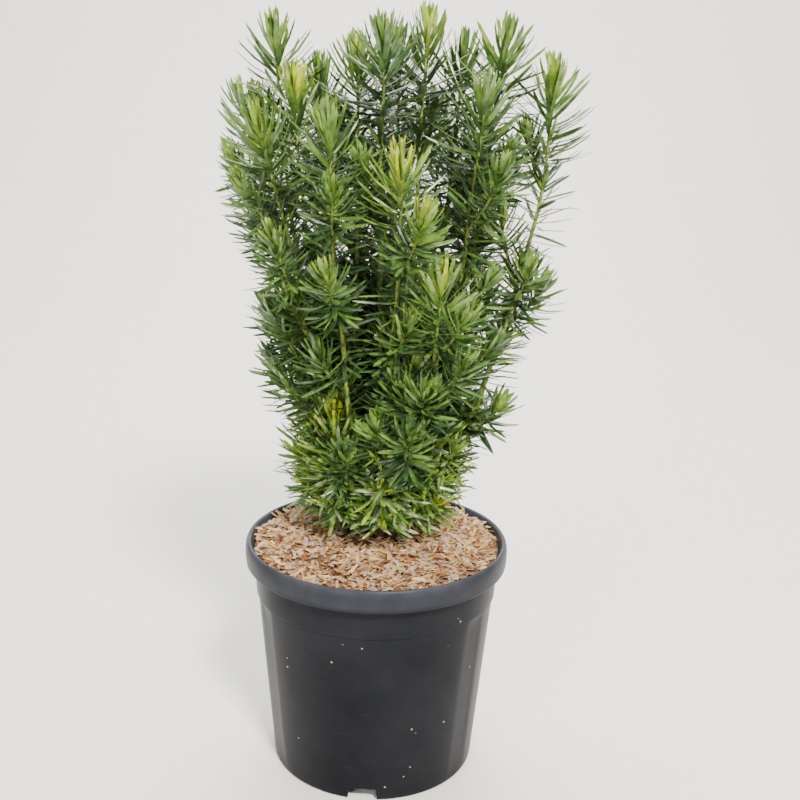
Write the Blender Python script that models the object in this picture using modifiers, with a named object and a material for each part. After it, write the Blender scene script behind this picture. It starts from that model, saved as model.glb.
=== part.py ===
# Upright Japanese plum yew in its black nursery container.
# A clump of steep shoots rises from the mulch. Each shoot is a bare tapering bough below and a
# mass of needles above: a leader and its side twigs, ringed by needles in yearly flushes.
# Metres, +Z up. The origin is on the container's axis, at the middle of its flat underside.

import math
import random

import bmesh
import bpy
import numpy as np
from mathutils import Matrix, Vector

OBJECT_NAME = "potted_plum_yew"
GAP = 0.0003            # clearance between neighbouring solids
TURN = 2.0 * math.pi

# Container, about 15 litres
POT_HEIGHT = 0.278
WALL = 0.003
BASE_RADIUS = 0.1214    # where the outer wall would meet the ground
SHOULDER_HEIGHT = 0.2145
SHOULDER_RADIUS = 0.1403
COLLAR_BOTTOM_RADIUS = 0.1424
COLLAR_TOP_RADIUS = 0.144
STEP_HEIGHT = 0.002
LIP_HEIGHT = 0.026
LIP_RADIUS = 0.155
LIP_FOOT_RADIUS = 0.154
LIP_CREST_RADIUS = 0.151
LIP_INNER_RADIUS = 0.1475
LIP_INNER_DROP = 0.0025   # the crest's fall to the lip's inner edge
LIP_OUTER_DROP = 0.010    # the crest's fall to the lip's widest place
LIP_RECESS = 0.004        # hollow under the lip
LIP_EDGE = 0.0015
LIP_THROAT_DROP = 0.016   # the straight wall ends this far below the crest
FOOT_ROUNDING = 0.003
CHANNEL_HEIGHT = 0.016    # raised drainage channel round the underside
CHANNEL_INNER_RADIUS = 0.091
PAD_RADIUS = 0.088        # flat middle of the underside
TURNED_STEPS = 40
ARC_STEPS = 3

# Flat strips down the wall, and drainage notches in the foot below every other strip
STRIPS = 6
STRIP_AZIMUTH = math.radians(-95.0)
STRIP_WIDTH = 0.030
NOTCHES = 3
NOTCH_TOP_WIDTH = 0.030
NOTCH_FOOT_WIDTH = 0.035
NOTCH_HEIGHT = 0.0145
NOTCH_DEPTH = 0.014

# Potting mix, with a flat middle and a fall to the container's wall
MIX_TOP = 0.284
MIX_FLAT_RADIUS = 0.100
MIX_EDGE_HEIGHT = 0.270
MIX_ROUNDING = [(0.119, 0.2815), (0.134, 0.2765)]

# Short stem that the three middle boughs fork from
STEM_HEIGHT = 0.045
STEM_TOP_RADIUS = 0.0165
STEM_FLARE_RADIUS = 0.027
STEM_STEPS = 16
FORK_RADIUS = 0.0102      # the middle boughs' feet stand on this circle

# Boughs
BOUGH_SIDES = 5
BOUGH_PIECES = 5
BOUGH_FOOT_RADIUS = 0.0052
BOUGH_TIP_RADIUS = 0.0028
FORKED_FOOT_RADIUS = 0.0044
LOW_BOUGH_FOOT_RADIUS = 0.0040
FOOT_RISE = 0.010         # a foot rises straight before it leans
FOOT_FLARE = 1.25
FOOT_SPREAD = 0.45        # a foot's distance from the axis, as a share of its tip's
FOOT_CLEAR_RADIUS = 0.042  # nearest foot outside the short stem

# Tall shoots: name, stem tip (x, y, z), how early the shoot bows outwards, and side twigs
TALL_SHOOTS = [
    ("left_tall", (-0.120, 0.028, 0.840), 0.80, 1),
    ("left_inner", (-0.095, -0.030, 0.790), 0.80, 0),
    ("left_outer", (-0.148, 0.075, 0.765), 0.70, 1),
    ("left_front", (-0.128, -0.078, 0.752), 0.62, 2),
    ("left_back", (-0.074, 0.075, 0.788), 0.80, 1),
    ("front_left", (-0.055, -0.085, 0.752), 0.85, 1),
    ("centre_left", (-0.030, 0.012, 0.822), 1.00, 0),
    ("centre_front", (-0.002, -0.045, 0.838), 1.00, 0),
    ("centre_top", (0.043, 0.005, 0.848), 0.90, 0),
    ("centre_back", (0.012, 0.080, 0.820), 0.90, 1),
    ("right_inner", (0.085, 0.042, 0.806), 0.80, 0),
    ("right_tall", (0.126, -0.002, 0.838), 0.75, 1),
    ("right_front", (0.102, -0.065, 0.784), 0.80, 1),
    ("right_outer", (0.174, -0.012, 0.795), 1.00, 2),
    ("front_centre", (0.018, -0.112, 0.716), 0.85, 1),
    ("front_right", (0.062, -0.118, 0.602), 0.80, 1),
    ("right_back", (0.116, 0.098, 0.766), 0.80, 1),
    ("back_left", (-0.066, 0.132, 0.762), 0.80, 1),
    ("back_middle", (0.006, 0.146, 0.784), 0.80, 1),
    ("back_right", (0.070, 0.150, 0.748), 0.75, 1),
]
TALL_START = 0.425        # height at which a tall shoot's needles begin
TALL_START_SPREAD = 0.035
BOW_HEIGHT = 0.55         # a shoot's outward bow, as a share of its rise

# Low shoots, evenly round the foot of the clump
LOW_SHOOTS = 8
LOW_AZIMUTH = math.radians(-173.0)
LOW_FOOT_RADIUS = 0.088
LOW_TIP_RADIUS = 0.110
LOW_TIP_HEIGHT = 0.440
LOW_TIP_SPREAD = 0.022
LOW_START = 0.328
LOW_TWIGS = 2

# Side twigs
TWIG_LENGTH = 0.080
TWIG_SPREAD = math.radians(42.0)
TWIG_RISE = 0.55          # how far a twig curves up towards the leader's direction
TWIG_CLEAR = 0.016        # least distance from a twig's tip to its space's edge

# Leaders and twigs are three-sided
SHOOT_SIDES = 3
LEADER_FOOT_RADIUS = 0.0028
SHOOT_TIP_RADIUS = 0.0014
TWIG_FOOT_RADIUS = 0.0022
SHOOT_PIECE = 0.075       # length of one straight piece of a leader or twig

# Needles: flat below and keeled above, pointed, larger than life in width
NEEDLE_LENGTH = 0.047
NEEDLE_WIDTH = 0.0088
NEEDLE_KEEL = 0.0016
NEEDLE_SHOULDER = 0.30    # where a needle is widest, as a share of its length
NEEDLE_SINK = 0.0006      # its root lies this far past the stem's axis
NEEDLE_BEND = 0.06        # its tip bends up by this share of its length
NEEDLE_TWIST = math.radians(55.0)
FLUSH_LENGTH = 0.095
FLUSH_GAP = 0.012
FLUSH_NEEDLES = 5
TOP_NEEDLES = 8
TWIG_NEEDLES = 5
LOW_NEEDLES = 8
GOLDEN_ANGLE = math.radians(137.5)
SPREAD_LOW = math.radians(88.0)
SPREAD_HIGH = math.radians(46.0)
SPREAD_TOP = math.radians(66.0)   # where the top flush begins
SPREAD_APEX = math.radians(15.0)
SPREAD_JITTER = math.radians(8.0)
FITS = [(1.0, 1.0), (0.78, 1.0), (0.60, 0.92), (0.60, 0.72), (1.0, 0.55)]  # spread, length
SPACE_MARGIN = 0.0004
SEED = 41

# Base colours (linear), roughness
LOOKS = {
    "container": ((0.028, 0.029, 0.033), 0.45),
    "potting_mix": ((0.34, 0.20, 0.11), 0.95),
    "bark": ((0.16, 0.14, 0.06), 0.80),
    "needles": ((0.10, 0.22, 0.04), 0.55),
    "needles_low": ((0.06, 0.15, 0.05), 0.60),
}


def clear_scene():
    for thing in list(bpy.data.objects):
        bpy.data.objects.remove(thing, do_unlink=True)


def new_collection(name):
    group = bpy.data.collections.new(name)
    bpy.context.scene.collection.children.link(group)
    return group


def new_material(name, look):
    colour, roughness = LOOKS[look]
    material = bpy.data.materials.new(name)
    material.use_nodes = True
    shader = material.node_tree.nodes["Principled BSDF"]
    shader.inputs["Base Color"].default_value = (*colour, 1.0)
    shader.inputs["Roughness"].default_value = roughness
    shader.inputs["Metallic"].default_value = 0.0
    return material


def add_object(name, data, group):
    thing = bpy.data.objects.new(name, data)
    group.objects.link(thing)
    return thing


def evaluated_mesh(thing):
    bpy.context.view_layer.update()
    graph = bpy.context.evaluated_depsgraph_get()
    return bpy.data.meshes.new_from_object(thing.evaluated_get(graph))


def finish(name, mesh, group, look, sharp_degrees=35.0):
    mesh.name = name
    mesh.shade_smooth()
    mesh.set_sharp_from_angle(angle=math.radians(sharp_degrees))
    mesh.materials.clear()
    mesh.materials.append(new_material(name, look))
    return add_object(name, mesh, group)


def outer_wall(height):
    return BASE_RADIUS + (SHOULDER_RADIUS - BASE_RADIUS) * height / SHOULDER_HEIGHT


def inner_wall(height):
    return outer_wall(height) - WALL


def quarter_arc(centre, half_width, half_height, start, stop):
    # Points on an ellipse about centre, from start to stop in quarter turns
    points = []
    for step in range(1, ARC_STEPS + 1):
        angle = math.radians(90.0) * (start + (stop - start) * step / ARC_STEPS)
        points.append((centre[0] + half_width * math.cos(angle), centre[1] + half_height * math.sin(angle)))
    return points


def container_profile():
    # From the middle of the inside floor, up the inner wall, over the lip and down to the underside
    crest = POT_HEIGHT
    throat = crest - LIP_THROAT_DROP
    lip_foot = crest - LIP_HEIGHT
    roof = CHANNEL_HEIGHT + WALL
    points = [
        (0.0, WALL),
        (PAD_RADIUS - WALL, WALL),
        (CHANNEL_INNER_RADIUS - WALL, roof),
        (inner_wall(roof), roof),
        (inner_wall(throat), throat),
        (LIP_INNER_RADIUS, crest - LIP_INNER_DROP),
    ]
    inner_centre = (LIP_CREST_RADIUS, crest - LIP_INNER_DROP)
    points += quarter_arc(inner_centre, LIP_CREST_RADIUS - LIP_INNER_RADIUS, LIP_INNER_DROP, 2, 1)
    outer_centre = (LIP_CREST_RADIUS, crest - LIP_OUTER_DROP)
    points += quarter_arc(outer_centre, LIP_RADIUS - LIP_CREST_RADIUS, LIP_OUTER_DROP, 1, 0)
    points += [
        (LIP_FOOT_RADIUS, lip_foot),
        (LIP_FOOT_RADIUS - LIP_EDGE, lip_foot),
        (LIP_FOOT_RADIUS - 2.0 * LIP_EDGE, lip_foot + LIP_RECESS),
        (COLLAR_TOP_RADIUS, lip_foot + LIP_RECESS),
        (COLLAR_BOTTOM_RADIUS, SHOULDER_HEIGHT + STEP_HEIGHT),
        (SHOULDER_RADIUS, SHOULDER_HEIGHT),
        (outer_wall(FOOT_ROUNDING), FOOT_ROUNDING),
        (outer_wall(0.0) - FOOT_ROUNDING / 3.0, 0.0),
        (outer_wall(0.0) - WALL - FOOT_ROUNDING / 3.0, 0.0),
        (outer_wall(CHANNEL_HEIGHT) - WALL, CHANNEL_HEIGHT),
        (CHANNEL_INNER_RADIUS, CHANNEL_HEIGHT),
        (PAD_RADIUS, 0.0),
        (0.0, 0.0),
    ]
    return points


def mix_profile():
    throat = POT_HEIGHT - LIP_THROAT_DROP
    lip_slope = (LIP_INNER_RADIUS - inner_wall(throat)) / (LIP_THROAT_DROP - LIP_INNER_DROP)
    edge_radius = inner_wall(throat) + lip_slope * (MIX_EDGE_HEIGHT - throat) - 2.0 * GAP
    floor = WALL + GAP
    roof = CHANNEL_HEIGHT + WALL + GAP
    return [
        (0.0, MIX_TOP),
        (MIX_FLAT_RADIUS, MIX_TOP),
        *MIX_ROUNDING,
        (edge_radius, MIX_EDGE_HEIGHT),
        (inner_wall(throat) - 2.0 * GAP, throat - GAP),
        (inner_wall(roof) - GAP, roof),
        (CHANNEL_INNER_RADIUS - WALL - GAP, roof),
        (PAD_RADIUS - WALL - 2.0 * GAP, floor),
        (0.0, floor),
    ]


def stem_profile():
    foot = MIX_TOP + GAP
    top = foot + STEM_HEIGHT
    return [
        (0.0, top),
        (STEM_TOP_RADIUS, top),
        (STEM_TOP_RADIUS + 0.0010, foot + STEM_HEIGHT * 0.45),
        (STEM_FLARE_RADIUS - 0.0045, foot + STEM_HEIGHT * 0.14),
        (STEM_FLARE_RADIUS, foot),
        (0.0, foot),
    ]


def turned(name, profile, steps, group):
    mesh = bpy.data.meshes.new(name)
    vertices = [(radius, 0.0, height) for radius, height in profile]
    mesh.from_pydata(vertices, [(i, i + 1) for i in range(len(vertices) - 1)], [])
    thing = add_object(name, mesh, group)
    screw = thing.modifiers.new("turn", "SCREW")
    screw.axis = "Z"
    screw.angle = TURN
    screw.steps = steps
    screw.render_steps = steps
    screw.use_merge_vertices = True
    screw.merge_threshold = 0.00001
    screw.use_smooth_shade = True
    return thing


def make_cutter(name, mesh, matrix, group):
    mesh.transform(matrix)
    cutter = add_object(name, mesh, group)
    cutter.hide_render = True
    cutter.display_type = "WIRE"
    return cutter


def box_mesh(name, size):
    mesh = bpy.data.meshes.new(name)
    shape = bmesh.new()
    bmesh.ops.create_cube(shape, size=1.0, matrix=Matrix.Diagonal((*size, 1.0)))
    shape.to_mesh(mesh)
    shape.free()
    return mesh


def make_strip_cutters(group):
    # A box lies against the tapered wall, so that it shaves a flat strip of the named width
    taper = math.atan2(SHOULDER_RADIUS - BASE_RADIUS, SHOULDER_HEIGHT)
    box_depth = 0.02
    low = 0.004
    high = SHOULDER_HEIGHT - 0.001
    middle = 0.5 * (low + high)
    shave = 0.5 * STRIP_WIDTH ** 2 / (4.0 * outer_wall(middle))
    for index in range(STRIPS):
        mesh = box_mesh("strip", (box_depth, 0.06, (high - low) / math.cos(taper)))
        place = (
            Matrix.Rotation(STRIP_AZIMUTH + TURN * index / STRIPS, 4, "Z")
            @ Matrix.Translation((outer_wall(middle) - shave, 0.0, middle))
            @ Matrix.Rotation(taper, 4, "Y")
            @ Matrix.Translation((box_depth / 2.0, 0.0, 0.0))
        )
        make_cutter(f"strip_cutter_{index + 1}", mesh, place, group)


def make_notch_cutters(group):
    for index in range(NOTCHES):
        below = 0.005
        mesh = box_mesh("notch", (NOTCH_DEPTH, NOTCH_TOP_WIDTH, NOTCH_HEIGHT + below))
        slope = 0.5 * (NOTCH_FOOT_WIDTH - NOTCH_TOP_WIDTH) / NOTCH_HEIGHT
        for vertex in mesh.vertices:
            if vertex.co.z < 0.0:
                vertex.co.y += math.copysign(slope * (NOTCH_HEIGHT + below), vertex.co.y)
        place = (
            Matrix.Rotation(STRIP_AZIMUTH + TURN * index / NOTCHES, 4, "Z")
            @ Matrix.Translation((BASE_RADIUS, 0.0, 0.5 * (NOTCH_HEIGHT - below)))
        )
        make_cutter(f"notch_cutter_{index + 1}", mesh, place, group)


def make_container(group, cutters):
    make_strip_cutters(cutters)
    make_notch_cutters(cutters)
    blank = turned("container_blank", container_profile(), TURNED_STEPS, group)
    cut = blank.modifiers.new("strips and notches", "BOOLEAN")
    cut.operation = "DIFFERENCE"
    cut.operand_type = "COLLECTION"
    cut.collection = cutters
    mesh = evaluated_mesh(blank)
    bpy.data.objects.remove(blank, do_unlink=True)
    finish("container", mesh, group, "container")


def make_turned_part(name, profile, steps, group, look):
    blank = turned(name + "_blank", profile, steps, group)
    mesh = evaluated_mesh(blank)
    bpy.data.objects.remove(blank, do_unlink=True)
    finish(name, mesh, group, look)


class Path:
    # A smooth route through sampled points, measured along its length

    def __init__(self, points):
        self.points = np.array(points)
        steps = np.linalg.norm(np.diff(self.points, axis=0), axis=1)
        self.lengths = np.concatenate([[0.0], np.cumsum(steps)])
        self.length = float(self.lengths[-1])

    def at(self, distance):
        return np.array([np.interp(distance, self.lengths, self.points[:, k]) for k in range(3)])

    def direction(self, distance):
        reach = 0.004
        ahead = self.at(min(distance + reach, self.length))
        behind = self.at(max(distance - reach, 0.0))
        return (ahead - behind) / np.linalg.norm(ahead - behind)

    def where_height(self, height):
        return float(np.interp(height, self.points[:, 2], self.lengths))

    def part(self, start, stop, pieces):
        return [self.at(start + (stop - start) * i / pieces) for i in range(pieces + 1)]


def curve_between(start, control, end, samples=40):
    points = []
    for i in range(samples + 1):
        t = i / samples
        points.append((1 - t) ** 2 * start + 2 * t * (1 - t) * control + t * t * end)
    return points


def polygon_section(sides, group):
    # Cross-section that tubes are drawn with, one metre in radius
    curve = bpy.data.curves.new(f"section_{sides}", "CURVE")
    spline = curve.splines.new("POLY")
    spline.points.add(sides - 1)
    for index, point in enumerate(spline.points):
        angle = TURN * index / sides
        point.co = (math.cos(angle), math.sin(angle), 0.0, 1.0)
    spline.use_cyclic_u = True
    section = add_object(curve.name, curve, group)
    section.hide_render = True
    section.display_type = "WIRE"
    return section


def limb_mesh(name, points, radii, section, group):
    curve = bpy.data.curves.new(name, "CURVE")
    curve.dimensions = "3D"
    curve.bevel_mode = "OBJECT"
    curve.bevel_object = section
    curve.use_fill_caps = True
    spline = curve.splines.new("POLY")
    spline.points.add(len(points) - 1)
    for point, place, radius in zip(spline.points, points, radii):
        point.co = (*place, 1.0)
        point.radius = radius
    thing = add_object(name + "_curve", curve, group)
    mesh = evaluated_mesh(thing)
    bpy.data.objects.remove(thing, do_unlink=True)
    shape = bmesh.new()
    shape.from_mesh(mesh)
    bmesh.ops.remove_doubles(shape, verts=shape.verts, dist=0.000001)
    bmesh.ops.recalc_face_normals(shape, faces=shape.faces)
    shape.to_mesh(mesh)
    shape.free()
    return mesh


def needle_mesh(root, along, across, length):
    # Six faces: a root point, a keeled widest section of three corners and a pointed tip
    above = along.cross(across)
    middle = along * (NEEDLE_SHOULDER * length)
    mesh = bpy.data.meshes.new("needle")
    shape = bmesh.new()
    bmesh.ops.create_cone(shape, cap_ends=True, segments=3, radius1=1.0, radius2=0.0, depth=1.0)
    corners = [vertex for vertex in shape.verts if vertex.co.z < 0.0]
    tip = next(vertex for vertex in shape.verts if vertex.co.z > 0.0)
    base = next(face for face in shape.faces if tip not in face.verts)
    hub = bmesh.ops.poke(shape, faces=[base])["verts"][0]
    corners.sort(key=lambda vertex: vertex.co.x)
    tip.co = root + along * length + above * (NEEDLE_BEND * length)
    hub.co = root - along * NEEDLE_SINK
    corners[0].co = root + middle - across * (0.5 * NEEDLE_WIDTH)
    corners[1].co = root + middle + above * NEEDLE_KEEL
    corners[2].co = root + middle + across * (0.5 * NEEDLE_WIDTH)
    bmesh.ops.recalc_face_normals(shape, faces=shape.faces)
    shape.to_mesh(mesh)
    shape.free()
    return mesh


def needle_samples(root, along, across, length):
    # Points on a needle's two edges and at its tip, past the part that is sunk in the stem
    above = np.cross(along, across)
    points = [root + along * length + above * (NEEDLE_BEND * length)]
    for share in (0.14, NEEDLE_SHOULDER, 0.45, 0.65, 0.85):
        if share < NEEDLE_SHOULDER:
            half = 0.5 * NEEDLE_WIDTH * share / NEEDLE_SHOULDER
        else:
            half = 0.5 * NEEDLE_WIDTH * (1.0 - share) / (1.0 - NEEDLE_SHOULDER)
        middle = root + along * (length * share) + above * (NEEDLE_BEND * length * share)
        points.append(middle + across * half)
        points.append(middle - across * half)
        points.append(middle + above * NEEDLE_KEEL)
    return np.array(points)


def distances(points, starts, ends):
    # Distance from each point to the nearest of the given straight pieces
    line = ends - starts
    offset = points[:, None, :] - starts[None, :, :]
    share = np.clip((offset * line).sum(-1) / (line * line).sum(-1), 0.0, 1.0)
    return np.linalg.norm(offset - share[..., None] * line, axis=-1).min(axis=1)


class Shoot:
    # A bough's route, its leader and its side twigs

    def __init__(self, name, path, start, foot_radius, seed, low):
        self.name = name
        self.path = path
        self.start = start
        self.foot_radius = foot_radius
        self.random = random.Random(seed)
        self.low = low
        self.twigs = []

    def lines(self):
        routes = [self.path.part(0.0, self.path.length, 24)]
        routes += [twig.part(0.0, twig.length, 6) for _, twig in self.twigs]
        starts = np.concatenate([route[:-1] for route in routes])
        ends = np.concatenate([route[1:] for route in routes])
        return starts, ends

    def bough_line(self):
        route = np.array(self.path.part(0.0, self.start, 12))
        return route[:-1], route[1:]


def foot_on_ground(tip, spread, least):
    flat = np.array([tip[0], tip[1], 0.0])
    radius = np.linalg.norm(flat)
    if radius * spread < 0.5 * least:
        return flat / radius * FORK_RADIUS + np.array([0.0, 0.0, MIX_TOP + STEM_HEIGHT + 2.0 * GAP])
    return flat / radius * max(radius * spread, least) + np.array([0.0, 0.0, MIX_TOP + GAP])


def shoot_path(foot, tip, bow):
    foot = np.array(foot)
    tip = np.array(tip)
    rise = foot + np.array([0.0, 0.0, FOOT_RISE])
    control = rise + (tip - rise) * np.array([bow, bow, BOW_HEIGHT])
    return Path([foot, *curve_between(rise, control, tip)])


def plan_shoots():
    shoots = []
    for index, (name, tip, bow, twigs) in enumerate(TALL_SHOOTS):
        path = shoot_path(foot_on_ground(tip, FOOT_SPREAD, FOOT_CLEAR_RADIUS), tip, bow)
        forked = path.at(0.0)[2] > MIX_TOP + 0.5 * STEM_HEIGHT
        foot_radius = FORKED_FOOT_RADIUS if forked else BOUGH_FOOT_RADIUS
        shoot = Shoot(name, path, 0.0, foot_radius, SEED + index, False)
        height = TALL_START + TALL_START_SPREAD * shoot.random.uniform(-1.0, 1.0)
        shoot.start = path.where_height(height)
        shoot.wanted_twigs = twigs
        shoots.append(shoot)
    for index in range(LOW_SHOOTS):
        azimuth = LOW_AZIMUTH + TURN * index / LOW_SHOOTS
        outwards = np.array([math.cos(azimuth), math.sin(azimuth), 0.0])
        foot = outwards * LOW_FOOT_RADIUS + np.array([0.0, 0.0, MIX_TOP + GAP])
        seed = SEED + 100 + index
        height = LOW_TIP_HEIGHT + LOW_TIP_SPREAD * random.Random(seed).uniform(-1.0, 1.0)
        tip = outwards * LOW_TIP_RADIUS + np.array([0.0, 0.0, height])
        path = shoot_path(foot, tip, 0.9)
        shoot = Shoot(f"low_{index + 1}", path, path.where_height(LOW_START), LOW_BOUGH_FOOT_RADIUS, seed, True)
        shoot.wanted_twigs = LOW_TWIGS
        shoots.append(shoot)
    return shoots


def other_lines(shoots, owner):
    starts = []
    ends = []
    for shoot in shoots:
        if shoot is not owner:
            begin, finish_ = shoot.lines()
            starts.append(begin)
            ends.append(finish_)
    return np.concatenate(starts), np.concatenate(ends)


def keeps_to_space(points, own, others, margin):
    return bool((distances(points, *others) - distances(points, *own) > 2.0 * margin).all())


def radial(direction, azimuth):
    # The level direction at an azimuth, squared to the shoot's own direction
    level = np.array([math.cos(azimuth), math.sin(azimuth), 0.0])
    level = level - direction * level.dot(direction)
    return level / np.linalg.norm(level)


def grow_twigs(shoots):
    for shoot in shoots:
        others = other_lines(shoots, shoot)
        tip = shoot.path.at(shoot.path.length)
        outwards = math.atan2(tip[1], tip[0])
        grown = shoot.path.length - shoot.start
        for index in range(shoot.wanted_twigs):
            for attempt in range(14):
                turn = shoot.random.uniform(-1.0, 1.0) * (0.5 + 0.15 * attempt)
                if shoot.low:
                    turn = (1 if index % 2 else -1) * math.radians(62.0) + 0.3 * turn
                share = shoot.random.uniform(0.18, 0.62) if not shoot.low else 0.30 + 0.25 * index
                length = TWIG_LENGTH * shoot.random.uniform(0.8, 1.15) * (0.6 if shoot.low else 1.0)
                origin = shoot.start + grown * share
                root = shoot.path.at(origin)
                direction = shoot.path.direction(origin)
                spread = TWIG_SPREAD * (1.5 if shoot.low else 1.0)
                side = radial(direction, outwards + turn)
                leave = direction * math.cos(spread) + side * math.sin(spread)
                end = root + length * (leave * (1.0 - TWIG_RISE) + direction * TWIG_RISE)
                end = end + side * length * 0.15
                control = root + 0.5 * length * leave
                twig = Path(curve_between(root, control, end, 12))
                own = shoot.lines()
                tip_room = distances(end[None, :], *others)[0]
                tip_own = distances(end[None, :], *own)[0]
                route = np.array(twig.part(0.3 * twig.length, twig.length, 6))
                if tip_room > TWIG_CLEAR and tip_own > 0.012 and keeps_to_space(route, own, others, 0.004):
                    shoot.twigs.append((origin, twig))
                    break


def flush_spans(length):
    count = max(1, round(length / FLUSH_LENGTH))
    span = length / count
    return [(span * i, span * (i + 1) - (FLUSH_GAP if i < count - 1 else 0.0)) for i in range(count)]


def needle_plan(shoot, path, start, stop, per_flush, per_top):
    # Place, stem direction, azimuth, spread, twist and wanted length of each needle along one stem
    plan = []
    azimuth = shoot.random.uniform(0.0, TURN)
    spans = flush_spans(stop - start)
    for number, (low, high) in enumerate(spans):
        last = number == len(spans) - 1
        count = per_top if last else per_flush
        widest = SPREAD_TOP if last and number else SPREAD_LOW
        narrowest = SPREAD_APEX if last else SPREAD_HIGH
        for step in range(count):
            share = (step + 0.4) / count
            distance = start + low + (high - low) * (share if step < count - 1 or not last else 0.985)
            azimuth += GOLDEN_ANGLE + shoot.random.uniform(-0.25, 0.25)
            spread = widest + (narrowest - widest) * share ** 1.2
            spread += SPREAD_JITTER * shoot.random.uniform(-1.0, 1.0)
            twist = NEEDLE_TWIST * shoot.random.uniform(-1.0, 1.0)
            length = NEEDLE_LENGTH * (0.78 + 0.24 * math.sin(math.pi * min(share + 0.12, 1.0)))
            if last and share > 0.7:
                length *= 0.78
            plan.append((path.at(distance), path.direction(distance), azimuth, spread, twist, length))
    return plan


def needle_frame(direction, azimuth, spread, twist):
    # The needle's own direction and the direction of its width
    side = radial(direction, azimuth)
    along = direction * math.cos(spread) + side * math.sin(spread)
    level = np.cross(direction, along)
    level = level / np.linalg.norm(level)
    return along, level * math.cos(twist) + np.cross(along, level) * math.sin(twist)


def fitting_needles(shoot, plan, own, others):
    # Needles that keep to their shoot's space, above the mulch and clear of the shoot's own bough.
    # One that doesn't fit is tried steeper and shorter, and then skipped.
    fitting = []
    bough = shoot.bough_line()
    for root, direction, azimuth, spread, twist, length in plan:
        for steepness, share in FITS:
            along, across = needle_frame(direction, azimuth, spread * steepness, twist)
            points = needle_samples(root, along, across, length * share)
            too_low = points[:, 2].min() < MIX_TOP + 0.003
            near_bough = distances(points, *bough).min() < shoot.foot_radius
            if not too_low and not near_bough and keeps_to_space(points, own, others, SPACE_MARGIN):
                fitting.append((Vector(root), Vector(along), Vector(across), length * share))
                break
    return fitting


def drop_scraps(mesh):
    # Keeps the one largest body: loose scraps go, and so does the skin of a sealed hollow
    shape = bmesh.new()
    shape.from_mesh(mesh)
    unseen = set(shape.faces)
    bodies = []
    while unseen:
        todo = [unseen.pop()]
        body = []
        while todo:
            face = todo.pop()
            body.append(face)
            for edge in face.edges:
                for neighbour in edge.link_faces:
                    if neighbour in unseen:
                        unseen.remove(neighbour)
                        todo.append(neighbour)
        bodies.append(body)
    bodies.sort(key=len, reverse=True)
    spare = [face for body in bodies[1:] for face in body]
    if spare:
        bmesh.ops.delete(shape, geom=spare, context="FACES")
    shape.to_mesh(mesh)
    shape.free()
    return len(bodies) - 1


def fuse(name, stem_mesh, pieces, group):
    # One union of the leader with the collection of its twigs and needles
    stem = add_object(name + "_stem", stem_mesh, group)
    grown = new_collection(name + "_grown")
    for index, mesh in enumerate(pieces):
        add_object(f"{name}_piece_{index}", mesh, grown)
    join = stem.modifiers.new("fuse", "BOOLEAN")
    join.operation = "UNION"
    join.operand_type = "COLLECTION"
    join.collection = grown
    mesh = evaluated_mesh(stem)
    bpy.data.objects.remove(stem, do_unlink=True)
    for piece in list(grown.objects):
        bpy.data.objects.remove(piece, do_unlink=True)
    bpy.data.collections.remove(grown)
    dropped = drop_scraps(mesh)
    if dropped:
        print("dropped", dropped, "scraps of", name)
    return mesh


def stem_radii(points, foot, tip):
    return [foot + (tip - foot) * i / (len(points) - 1) for i in range(len(points))]


def make_bough(shoot, section, group):
    route = [shoot.path.at(0.0)]
    route += shoot.path.part(FOOT_RISE, shoot.start, BOUGH_PIECES - 1)
    radii = [shoot.foot_radius * FOOT_FLARE]
    radii += stem_radii(route[1:], shoot.foot_radius, BOUGH_TIP_RADIUS)
    mesh = limb_mesh("bough", route, radii, section, group)
    finish(f"bough_{shoot.name}", mesh, group, "bark", 60.0)


def make_foliage(shoot, shoots, section, group):
    own = shoot.lines()
    others = other_lines(shoots, shoot)
    start = shoot.start + GAP
    stop = shoot.path.length
    pieces = max(2, round((stop - start) / SHOOT_PIECE))
    route = shoot.path.part(start, stop, pieces)
    leader = limb_mesh("leader", route, stem_radii(route, LEADER_FOOT_RADIUS, SHOOT_TIP_RADIUS), section, group)
    per_flush = LOW_NEEDLES if shoot.low else FLUSH_NEEDLES
    per_top = LOW_NEEDLES if shoot.low else TOP_NEEDLES
    stem = Path(route)
    plan = needle_plan(shoot, stem, 0.008, stem.length, per_flush, per_top)
    grown = []
    for _, twig in shoot.twigs:
        points = twig.part(0.0, twig.length, 2)
        grown.append(limb_mesh("twig", points, stem_radii(points, TWIG_FOOT_RADIUS, SHOOT_TIP_RADIUS), section, group))
        stem = Path(points)
        plan += needle_plan(shoot, stem, 0.3 * stem.length, stem.length, TWIG_NEEDLES, TWIG_NEEDLES)
    fitting = fitting_needles(shoot, plan, own, others)
    grown += [needle_mesh(*needle) for needle in fitting]
    mesh = fuse(shoot.name, leader, grown, group)
    look = "needles_low" if shoot.low else "needles"
    finish(f"needles_{shoot.name}", mesh, group, look, 25.0)
    return len(plan), len(fitting), len(shoot.twigs)


def main():
    clear_scene()
    parts = new_collection(OBJECT_NAME)
    cutters = new_collection("cutters")
    sections = new_collection("sections")
    make_container(parts, cutters)
    make_turned_part("potting_mix", mix_profile(), TURNED_STEPS, parts, "potting_mix")
    make_turned_part("stem_base", stem_profile(), STEM_STEPS, parts, "bark")
    bough_section = polygon_section(BOUGH_SIDES, sections)
    shoot_section = polygon_section(SHOOT_SIDES, sections)
    shoots = plan_shoots()
    grow_twigs(shoots)
    wanted = 0
    kept = 0
    for shoot in shoots:
        make_bough(shoot, bough_section, parts)
        planned, fitting, twigs = make_foliage(shoot, shoots, shoot_section, parts)
        wanted += planned
        kept += fitting
        print(shoot.name, "needles", fitting, "of", planned, "twigs", twigs)
    print("needles kept", kept, "of", wanted)


main()
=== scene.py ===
import math
import random

import bmesh
import bpy
import numpy as np
from mathutils import Matrix, Vector


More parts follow.
